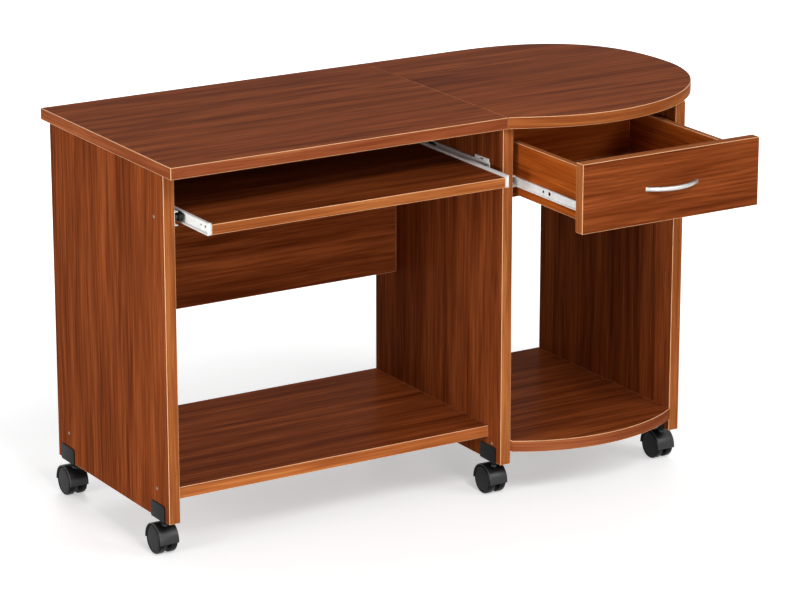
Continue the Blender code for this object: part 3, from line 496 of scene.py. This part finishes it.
# %% [markdown]
# ## Turned and folded shapes
#
# Wheels, screws and rollers are turned: a profile of distance and radius goes round an axis. Slides and
# brackets are folded from strip: a bent line is given a thickness. Both are profiles carried along a path, so
# two small functions make the rest of the hardware. A lathe modifier or an extruded curve would do as well,
# but would need applying.

# %% Turned and folded shapes
def turned(profile_mm, axis, centre, steps=48, backwards=False):
    """Point = centre + distance along the axis + radius * (cos, sin) across it, for each profile point and
    angle. Backwards turns a shape on X half round, so that its profile runs the other way."""
    profile = np.array(profile_mm) / 1000
    angle = np.linspace(0, 2 * np.pi, steps, endpoint=False) + np.pi / steps
    across = profile[:, 1, None, None] * np.stack([np.cos(angle), np.sin(angle)], -1)[None]
    along = np.broadcast_to(profile[:, 0, None, None], (len(profile), steps, 1))
    local = np.roll(np.concatenate([across, along], -1), axis + 1, -1)
    if backwards:
        local = local * np.array([-1, -1, 1])
    points, faces = capped(local)
    return points + np.array(centre), faces


def bent_line(corners, radius, steps=4):
    """A line through corner points, with each inner corner replaced by a curve between its two legs."""
    corners = np.array(corners, float)
    before = corners[1:-1] - corners[:-2]
    after = corners[2:] - corners[1:-1]
    before /= np.linalg.norm(before, axis=1, keepdims=True)
    after /= np.linalg.norm(after, axis=1, keepdims=True)
    t = np.linspace(0, 1, steps + 1)[None, :, None]
    start = (corners[1:-1] - radius * before)[:, None]
    end = (corners[1:-1] + radius * after)[:, None]
    bends = (1 - t) ** 2 * start + 2 * t * (1 - t) * corners[1:-1][:, None] + t ** 2 * end
    return np.concatenate([corners[:1], bends.reshape(-1, 2), corners[-1:]])


def strip_section(line, thickness):
    """Both sides of a bent line: the line plus and minus half the thickness along its normal."""
    tangent = np.gradient(line, axis=0)
    normal = np.stack([-tangent[:, 1], tangent[:, 0]], -1)
    normal /= np.linalg.norm(normal, axis=1, keepdims=True)
    half = normal * thickness / 2
    return np.concatenate([line - half, (line + half)[::-1]])


def drawn_along_y(section, front, back):
    """A section in X and Z, carried straight along Y from front to back. Its points are first put in one
    order, so that the faces point outwards: the sign of the area, a sum of x * next z - next x * z, tells."""
    after = np.roll(section, -1, 0)
    area = np.sum(section[:, 0] * after[:, 1] - after[:, 0] * section[:, 1])
    section = section if area < 0 else section[::-1]
    rows = [np.insert(section, 1, y, axis=1) for y in (front, back)]
    return capped(np.stack(rows))


print("a bent line with one corner has", len(bent_line([(0, 0), (1, 0), (1, 1)], 0.1)), "points")

# %% [markdown]
# ## Slides
#
# Each slide is two channels folded from white steel. The rail is fixed to a panel and carries a black nylon
# roller near its front end. The shallow runner is screwed to the edge of the tray or the drawer, opens
# towards the panel and rides over that roller, and its own back roller runs inside the rail. A small plate
# closes the runner's front end, and the tray's rails have a slotted ear. All of it is strip folded along a
# line, and turned rollers.

# %% Slides
STEEL_MM = 1.5
BEND_MM = 2.2
SLIDE_PLAY = 0.0004
RAIL_FLANGE = 0.008
RUNNER_DEPTH = {"tray": 0.008, "drawer": 0.006}
ROLLER_SETBACK = 0.0135
ROLLER_END_SPACE = 0.0025
END_PLATE = 0.0015
EAR_SETBACK, EAR_LENGTH = 0.003, 0.047
SLOT_HALF = np.array((0.0060, 0.0014))
SLEEVE_SHARE, SLEEVE_LENGTH_SHARE = 0.55, 0.62
ROLLER_ROUND_MM = 0.8
ROLLER_PIN_MM, PIN_DISH_MM = 2.6, 0.4
SCREW_SIDES = 20
# How far each screw or slot lies behind the runner's front end, in metres, and its radius in millimetres. Each
# gets a black head, partly a screw and partly painted shade: it stands in for the dark inside of the holes and
# slots in the white runner.
RUNNER_SCREWS_AND_HOLE_SHADE = {"tray": ((0.020, 2.2), (0.036, 1.8), (0.150, 2.2), (0.270, 2.2)),
                 "drawer": ((0.022, 1.3), (0.032, 1.3), (0.119, 3.6), (0.139, 2.6), (0.300, 2.2))}


def channel(wall, lip, low, high):
    """A channel's section: lip, web, lip, as one bent strip."""
    half = STEEL_MM / 2000
    side = np.sign(lip - wall)
    web = wall + side * half
    corners = [(lip, low + half), (web, low + half), (web, high - half), (lip, high - half)]
    return strip_section(bent_line(corners, BEND_MM / 1000), STEEL_MM / 1000)


def slotted_plate(low, high, slot_half, thickness_low, thickness_high):
    """A plate in Y and Z with a slot: outer front, inner front, inner back, outer back, joined in a ring."""
    outer = rectangle_outline(low, high)
    middle = (np.array(low) + np.array(high)) / 2
    inner = rectangle_outline(middle - slot_half, middle + slot_half)
    loops = np.stack([outer, inner, inner, outer])
    depth = np.array([thickness_high, thickness_high, thickness_low, thickness_low])
    columns = loops.shape[1]
    local = np.concatenate([loops, np.broadcast_to(depth[:, None, None], (4, columns, 1))], -1)
    return np.roll(local, 1, -1).reshape(-1, 3), grid_faces(4, columns, ring=True)


def roller_shell(start, end, radius, y, z):
    """A nylon roller on its thinner sleeve: the sleeve starts at a web, and the roller is the far third."""
    reach = abs(end - start) * 1000
    r = radius * 1000
    sleeve = SLEEVE_SHARE * r
    neck = reach * SLEEVE_LENGTH_SHARE
    edge = ROLLER_ROUND_MM
    roller = [(neck, r - edge), (neck + edge, r), (reach - edge, r), (reach, r - edge)]
    pin = [(reach, ROLLER_PIN_MM), (reach - PIN_DISH_MM, ROLLER_PIN_MM - PIN_DISH_MM)]
    profile = [(0, sleeve), (neck, sleeve), *roller, *pin]
    return turned(profile, X, (start, y, z), backwards=end < start)


def make_slide(kind, side):
    """The rail, the runner, their rollers and the runner's screws, whose black tops are also painted shade for
    its holes, placed by the slide's two CAD nodes.
    """
    rail_low, rail_high = (np.array(c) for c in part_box(f"{kind}_rail_{side}"))
    run_low, run_high = (np.array(c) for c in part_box(f"{kind}_runner_{side}"))
    inward = 1 if side == "left" else -1
    rail_wall, run_wall = (rail_low[0], run_high[0]) if inward > 0 else (rail_high[0], run_low[0])
    rail_lip = rail_wall + inward * RAIL_FLANGE
    run_lip = run_wall - inward * RUNNER_DEPTH[kind]
    steel = STEEL_MM / 1000
    outer = steel + SLIDE_PLAY
    middle = (run_low[2] + run_high[2]) / 2
    radius = (run_high[2] - run_low[2]) / 2

    rail = [drawn_along_y(channel(rail_wall, rail_lip, run_low[2] - outer, run_high[2] + outer),
                          rail_low[1], rail_high[1])]
    if kind == "tray":
        ear_front = rail_low[1] + EAR_SETBACK
        rail.append(slotted_plate((ear_front, run_high[2]), (ear_front + EAR_LENGTH, rail_high[2]), SLOT_HALF,
                                  *sorted((rail_wall, rail_wall + inward * steel))))
    make_piece(f"{kind}_rail_{side}_channel", rail, [WHITE_ENAMEL], "desk",
               [f"{kind}_rail_{side}"])

    plate = rectangle_outline((run_low[2], min(run_wall, run_lip)), (run_high[2], max(run_wall, run_lip)))
    runner = [drawn_along_y(channel(run_wall, run_lip, run_low[2], run_high[2]), run_low[1], run_high[1]),
              board_shell(plate, run_low[1], run_low[1] + END_PLATE, Y)[0]]
    make_piece(f"{kind}_runner_{side}_channel", runner, [WHITE_ENAMEL], kind,
               [f"{kind}_runner_{side}"])

    web = run_wall - inward * steel
    # Black tops: partly screws, partly painted shade standing for the dark holes and slots in the runner.
    heads = [turned([(0, 0.5 * r), (0, r), (0.15, r), (0.3, 0.6 * r), (0.2, 0.3 * r)], X,
                    (web, run_low[1] + back, middle), SCREW_SIDES, backwards=inward > 0)
             for back, r in RUNNER_SCREWS_AND_HOLE_SHADE[kind]]
    make_piece(f"{kind}_runner_{side}_screws", heads, [BLACK_ENAMEL], kind)

    front_end = run_wall - inward * (outer + ROLLER_END_SPACE)
    front = roller_shell(rail_wall + inward * steel, front_end, radius - outer,
                         rail_low[1] + ROLLER_SETBACK, middle)
    make_piece(f"{kind}_roller_front_{side}", [front], [BLACK_PLASTIC], "desk")
    back = roller_shell(run_wall - inward * steel, rail_wall + inward * outer, radius,
                        run_high[1] - ROLLER_SETBACK, middle)
    make_piece(f"{kind}_roller_back_{side}", [back], [BLACK_PLASTIC], kind)


for kind in ("tray", "drawer"):
    for side in ("left", "right"):
        make_slide(kind, side)
print("slides made for tray and drawer")

# %% [markdown]
# ## Casters
#
# A furniture caster has two wheels under one moulded hood. The hood is a band of plastic bent over the
# wheels, so its rounded section is carried along an arc about the axle. A web between the wheels holds the
# axle, and a collar on top turns on the stem. The wheels are turned: a rounded tread, a thin rim, a groove
# inside it and a flat disc.

# %% Casters
HOOD_OUTER, HOOD_INNER = 0.0315, 0.0287
HOOD_START, HOOD_END = np.radians(-5), np.radians(185)
HOOD_STEPS = 44
HUB_RADIUS = 0.008
CASTER_TRAIL = 0.010
WHEEL_MM = 14.0
WHEEL_BORE_MM = 2.9
WHEEL_SIDES = 64
WEB_HALF = 0.004
WEB_LAP = 0.0008
WEB_END_ANGLE, WEB_SLOPE_ANGLE = 0.04, 0.5
WEB_HUB_STEPS = 12
# Height above the hood's top and radius: a collar in the hood, and the stem that rises from it.
COLLAR_MM = [(-3, 6.5), (1.2, 6.5), (1.6, 6.1), (1.6, 4.0), (9.5, 4.0)]
COLLAR_SIDES = 32


def hood_shell(axle, half_width):
    """Section (X, radius) carried round the axle: Y = axle - radius * cos, Z = axle + radius * sin."""
    section = rectangle_outline((-half_width, HOOD_INNER), (half_width, HOOD_OUTER))
    angle = np.linspace(HOOD_START, HOOD_END, HOOD_STEPS)[:, None]
    x = np.broadcast_to(section[:, 0], (HOOD_STEPS, len(section)))
    grid = np.stack([x, -section[:, 1] * np.cos(angle), section[:, 1] * np.sin(angle)], -1)
    points, faces = capped(grid)
    return points + axle, faces


def web_shell(axle):
    """The plate between the wheels: an arc that laps into the hood and a small arc under the axle, given a
    thickness."""
    upper = np.linspace(HOOD_START + WEB_END_ANGLE, HOOD_END - WEB_END_ANGLE, HOOD_STEPS)
    lower = np.linspace(HOOD_END + WEB_SLOPE_ANGLE, 2 * np.pi + HOOD_START - WEB_SLOPE_ANGLE, WEB_HUB_STEPS)
    angle = np.concatenate([upper, lower])[::-1]
    radius = np.repeat([HOOD_INNER + WEB_LAP, HUB_RADIUS], [HOOD_STEPS, WEB_HUB_STEPS])[::-1]
    outline = np.stack([axle[1] - radius * np.cos(angle), axle[2] + radius * np.sin(angle)], -1)
    return board_shell(outline, axle[0] - WEB_HALF, axle[0] + WEB_HALF, X)[0]


def wheel_profile(radius_mm):
    """Distance from the inner face and radius, in millimetres, from the bore round the tread and the rim to
    the disc."""
    r = radius_mm
    w = WHEEL_MM
    bore = [(w - 3, WHEEL_BORE_MM), (0.4, WHEEL_BORE_MM), (0, WHEEL_BORE_MM + 0.4)]
    tread = [(0, r - 1.6), (0.5, r - 0.6), (1.6, r), (w - 3.2, r), (w - 1.8, r - 0.35), (w - 0.7, r - 1.2)]
    rim = [(w - 0.1, r - 2.1), (w, r - 2.6), (w - 0.2, r - 3.2), (w - 1.1, r - 3.7)]
    disc = [(w - 1.3, r - 4.2), (w - 1.0, r - 4.7), (w - 0.7, r - 5.5), (w - 0.6, r - 7.0), (w - 0.6, 1.5)]
    return [*bore, *tread, *rim, *disc]


for row in ("left", "middle", "right"):
    for end in ("front", "back"):
        place = f"{row}_{end}"
        body = f"caster_{place}"
        axle = np.mean([np.array(c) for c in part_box(f"caster_axle_{place}")], axis=0)
        half = (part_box(f"caster_body_{place}")[1][0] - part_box(f"caster_body_{place}")[0][0]) / 2
        hood_top = axle[2] + np.sqrt(HOOD_OUTER ** 2 - CASTER_TRAIL ** 2)
        stem = (axle[0], axle[1] - CASTER_TRAIL, hood_top)
        hood = [hood_shell(axle, half), web_shell(axle), turned(COLLAR_MM, Z, stem, COLLAR_SIDES)]
        make_piece(f"caster_hood_{place}", hood, [BLACK_PLASTIC], body,
                   [f"caster_body_{place}"])
        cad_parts[f"caster_axle_{place}"].data.materials.clear()
        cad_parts[f"caster_axle_{place}"].data.materials.append(ZINC)
        profile = wheel_profile(axle[2] * 1000)
        for side, sign in (("left", -1), ("right", 1)):
            inner = axle + np.array((sign * (half - WHEEL_MM / 1000), 0, 0))
            wheel = turned(profile, X, inner, WHEEL_SIDES, backwards=sign < 0)
            make_piece(f"caster_tread_{place}_{side}", [wheel], [TREAD_PLASTIC], f"wheel_{place}_{side}",
                       [f"caster_wheel_{place}_{side}"])
print("casters: six hoods and twelve wheels")

# %% [markdown]
# ## Caster brackets
#
# Each caster hangs from a bracket folded out of black strip: a plate on the panel's face, a flange under its
# edge and a sleeve round the stem. The strip is a rounded rectangle carried along an L-shaped line, and its
# width narrows near the top so that the plate gets rounded corners.

# %% Caster brackets
BRACKET_MM = 2.5
BRACKET_BEND = 0.003
PLATE_CORNER = 0.004
PLATE_STEPS = 24
BRACKET_GAP = 0.0003
SLEEVE_BORE_MM, SLEEVE_MM, SLEEVE_ROUND_MM = 4.3, 6.5, 0.5
SLEEVE_SIDES = 32


def folded_strip(line, middle_y, half_width, thickness, corner):
    """Rows follow a bent line in X and Z. Each row is a rounded rectangle: the width across Y, the thickness
    across the line. Near the line's end the width narrows as a quarter circle does, which rounds the
    corners."""
    tangent = np.gradient(line, axis=0)
    normal = np.stack([tangent[:, 1], -tangent[:, 0]], -1)
    normal /= np.linalg.norm(normal, axis=1, keepdims=True)
    run = np.concatenate([[0], np.cumsum(np.linalg.norm(np.diff(line, axis=0), axis=1))])
    left = np.clip((run[-1] - run) / corner, 0, 1)
    width = half_width - corner + corner * np.sqrt(1 - (1 - left) ** 2)
    loop = rectangle_outline((-1, -thickness / 2), (1, thickness / 2))
    edge = np.sign(loop[:, 0]) * (1 - np.abs(loop[:, 0]))
    y = np.sign(loop[:, 0])[None] * width[:, None] - edge[None]
    offset = loop[None, :, 1, None] * normal[:, None]
    spot = line[:, None] + offset
    grid = np.stack([spot[..., 0], middle_y + y, spot[..., 1]], -1)
    return capped(grid)


for row in ("left", "middle", "right"):
    panel_low, panel_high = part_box(f"{row}_panel")
    for end in ("front", "back"):
        name = f"caster_bracket_{row}_{end}"
        low, high = (np.array(c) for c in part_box(name))
        half = BRACKET_MM / 2000
        flange = panel_low[2] - BRACKET_GAP - half
        plate_x = low[0] + half
        bend = bent_line([(high[0], flange), (plate_x, flange), (plate_x, high[2])], BRACKET_BEND)
        tip = np.linspace(bend[-2], bend[-1], PLATE_STEPS)[1:]
        strip = folded_strip(np.concatenate([bend[:-1], tip]), (low[1] + high[1]) / 2, (high[1] - low[1]) / 2,
                             BRACKET_MM / 1000, PLATE_CORNER)
        long = (flange - low[2]) * 1000
        middle = ((panel_low[0] + panel_high[0]) / 2, (low[1] + high[1]) / 2, low[2])
        inside = [(long, SLEEVE_BORE_MM), (SLEEVE_ROUND_MM, SLEEVE_BORE_MM),
                  (0, SLEEVE_BORE_MM + SLEEVE_ROUND_MM)]
        outside = [(0, SLEEVE_MM - SLEEVE_ROUND_MM), (SLEEVE_ROUND_MM, SLEEVE_MM), (long, SLEEVE_MM)]
        sleeve = turned(inside + outside, Z, middle, SLEEVE_SIDES)
        make_piece(f"{name}_strip", [strip, sleeve], [BLACK_ENAMEL], "desk", [name])
print("brackets: six")

# %% [markdown]
# ## Handle and screws
#
# The handle is a bow: an oval section carried along an arc that springs from the drawer's face and comes back
# to it. The arc runs on until its outer line meets the face, and whatever would pass into the wood is laid
# flat on it, so the ends sit flush. A bevelled curve would need its ends cut. The screws are turned, with a
# small socket in the head.

# %% Handle and screws
HANDLE_LENGTH = 0.106
HANDLE_BOW = 0.018
HANDLE_HALF_DEPTH = 0.0035
HANDLE_STEPS = 65
HANDLE_SIDES = 28


def bow_shell(middle, face, height, half_height):
    """Spine = centre + radius * (sin, -cos) of the turn. Section = spine + outward * depth * cos + up *
    height * sin. Whatever would pass the face is laid on it."""
    radius = (HANDLE_LENGTH ** 2 / 4 + HANDLE_BOW ** 2) / (2 * HANDLE_BOW)
    turn_end = np.arccos((radius - HANDLE_BOW) / (radius + HANDLE_HALF_DEPTH))
    turn = np.linspace(-turn_end, turn_end, HANDLE_STEPS)[:, None]
    angle = np.linspace(0, 2 * np.pi, HANDLE_SIDES, endpoint=False)[None]
    reach = radius + HANDLE_HALF_DEPTH * np.cos(angle)
    x = middle + reach * np.sin(turn)
    y = np.minimum(face - HANDLE_BOW + radius - reach * np.cos(turn), face)
    z = height + half_height * np.sin(angle) * np.ones_like(turn)
    return capped(np.stack([x, y, z], -1)[:, ::-1])


low, high = (np.array(c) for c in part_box("drawer_handle"))
bow = bow_shell((low[0] + high[0]) / 2, high[1], (low[2] + high[2]) / 2, (high[2] - low[2]) / 2)
make_piece("drawer_handle_bow", [bow], [SATIN_NICKEL], "drawer", ["drawer_handle"])

SCREWS = ("shelf_screw_front", "shelf_screw_back", "extension_screw_front", "extension_screw_back",
          "tray_rail_screw")
# Depth behind the head's face and radius: the socket, the head's dome and its underside.
SCREW_HEAD_MM = [(0.7, 0.9), (0.2, 1.2), (0.1, 1.8), (0.25, 2.6), (0.6, 3.1), (1.0, 3.2), (1.0, 2.45)]
SCREW_SHANK_MM, SCREW_TIP_MM, SCREW_POINT_MM = 2.4, 1.2, 1.5
JOINING_SCREW_SIDES = 32

for name in SCREWS:
    low, high = (np.array(c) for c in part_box(name))
    length = (high[0] - low[0]) * 1000
    shank = [(length - SCREW_POINT_MM, SCREW_SHANK_MM), (length, SCREW_TIP_MM)]
    face_middle = (low[0], (low[1] + high[1]) / 2, (low[2] + high[2]) / 2)
    screw = turned(SCREW_HEAD_MM + shank, X, face_middle, JOINING_SCREW_SIDES)
    make_piece(f"{name}_turned", [screw], [ZINC], "desk", [name])
print("handle and", len(SCREWS), "screws_and_hole_shade")

# %% [markdown]
# ## Floor and light
#
# The desk stands on a plain pale floor that melts into a white background. Five soft lamps share the light:
# one high in front, one low in front that reaches under the worktop, one at the front right that puts a sheen
# on the caster hoods, one at the left and a weak one behind. Together with a dim surround they show a colour
# about as it is written, and leave the drawer's inside and the tray in shade, as in the photograph. One big
# lamp would be simpler, but it lights those two as much as the rest. The floor and the world are whiter where
# they are seen, by the camera or in a shiny surface, so the background is white without more light on the
# desk. The floor is also paler to the camera than to the light that it throws back, so its shadow shows
# without a bright glow from below.

# %% Floor and light
FLOOR_HALF_SIZE = 40.0
# The floor's colour for the light that it throws back, and its paler colour for the camera.
FLOOR_GREY, FLOOR_PALE = "#b0b0b0", "#f0f0f0"
FLOOR_ROUGHNESS = 0.55
# How much white the floor adds for the camera near the desk, and how far off that starts to rise and is full.
FLOOR_LIFT = 0.42
NEAR, FAR = 0.7, 1.8
SURROUND = 0.28
LAMP_DISTANCE = 4.5
LAMP_TARGET = Vector((0, 0, 0.4))
# Name, azimuth and elevation in degrees, size in metres, and level.
LAMPS = (
    ("front_key", -8, 45, 1.2, 0.31),
    ("front_low", -8, 7, 1.4, 0.31),
    ("right_front", 32, 30, 1.4, 0.19),
    ("left_side", -80, 5, 1.6, 0.55),
    ("back", 165, 45, 1.6, 0.14),
)


def seen_rays(tree):
    """1 for a ray from the camera, from a shiny surface or through a clear one, and 0 for every other."""
    path = node(tree, "ShaderNodeLightPath")
    shown = node(tree, "ShaderNodeMath", {0: path.outputs["Is Camera Ray"], 1: path.outputs["Is Glossy Ray"]},
                 operation="MAXIMUM").outputs[0]
    return node(tree, "ShaderNodeMath", {0: shown, 1: path.outputs["Is Transmission Ray"]},
                operation="MAXIMUM").outputs[0]


material, tree, shader = blank_material("pale_studio_floor")
seen = seen_rays(tree)
place = node(tree, "ShaderNodeTexCoord").outputs["Object"]
away = node(tree, "ShaderNodeVectorMath", {0: place}, operation="LENGTH").outputs["Value"]
fade = node(tree, "ShaderNodeMapRange", {"Value": away, 1: NEAR, 2: FAR, 3: FLOOR_LIFT, 4: 1.0},
            interpolation_type="SMOOTHSTEP").outputs[0]
lift = node(tree, "ShaderNodeMath", {0: seen, 1: fade}, operation="MULTIPLY").outputs[0]
tree.links.new(lift, shader.inputs["Emission Strength"])
shader.inputs["Emission Color"].default_value = linear("#ffffff")
tint = node(tree, "ShaderNodeMix", {0: seen, MIX_A: linear(FLOOR_GREY), MIX_B: linear(FLOOR_PALE)},
            data_type="RGBA").outputs[MIX_COLOUR]
tree.links.new(tint, shader.inputs["Base Color"])
shader.inputs["Roughness"].default_value = FLOOR_ROUGHNESS
reach = np.array([-FLOOR_HALF_SIZE, FLOOR_HALF_SIZE])
ground = np.stack([*np.meshgrid(reach, reach), np.zeros((2, 2))], -1).reshape(-1, 3)
floor_mesh = bpy.data.meshes.new("floor")
floor_mesh.from_pydata(ground.tolist(), [], grid_faces(2, 2, loop=False))
floor_mesh.materials.append(material)
floor = bpy.data.objects.new("floor", floor_mesh)
bpy.context.scene.collection.objects.link(floor)

world = bpy.data.worlds.new("studio_surround")
world.use_nodes = True
bpy.context.scene.world = world
tree = world.node_tree
level = node(tree, "ShaderNodeMapRange", {"Value": seen_rays(tree), 3: SURROUND, 4: 1.0}).outputs[0]
tree.links.new(level, tree.nodes["Background"].inputs["Strength"])
tree.nodes["Background"].inputs["Color"].default_value = linear("#ffffff")


def soft_lamp(name, azimuth, elevation, size, level):
    """A square lamp on a sphere about the desk, azimuth 0 in front. Power = level * (pi * distance) squared,
    so that a level of 1 shows a colour as it is written on a face turned to the lamp."""
    lamp = bpy.data.lights.new(name, "AREA")
    lamp.energy = level * (np.pi * LAMP_DISTANCE) ** 2
    lamp.size = size
    holder = bpy.data.objects.new(name, lamp)
    bpy.context.scene.collection.objects.link(holder)
    turn, rise = np.radians((azimuth, elevation))
    away = Vector((np.sin(turn) * np.cos(rise), -np.cos(turn) * np.cos(rise), np.sin(rise)))
    holder.location = LAMP_TARGET + away * LAMP_DISTANCE
    holder.rotation_euler = (-away).to_track_quat("-Z", "Y").to_euler()
    holder.visible_camera = False


for lamp_values in LAMPS:
    soft_lamp(*lamp_values)
bpy.context.scene.view_settings.view_transform = "Standard"
print("floor and", len(LAMPS), "lamps set")
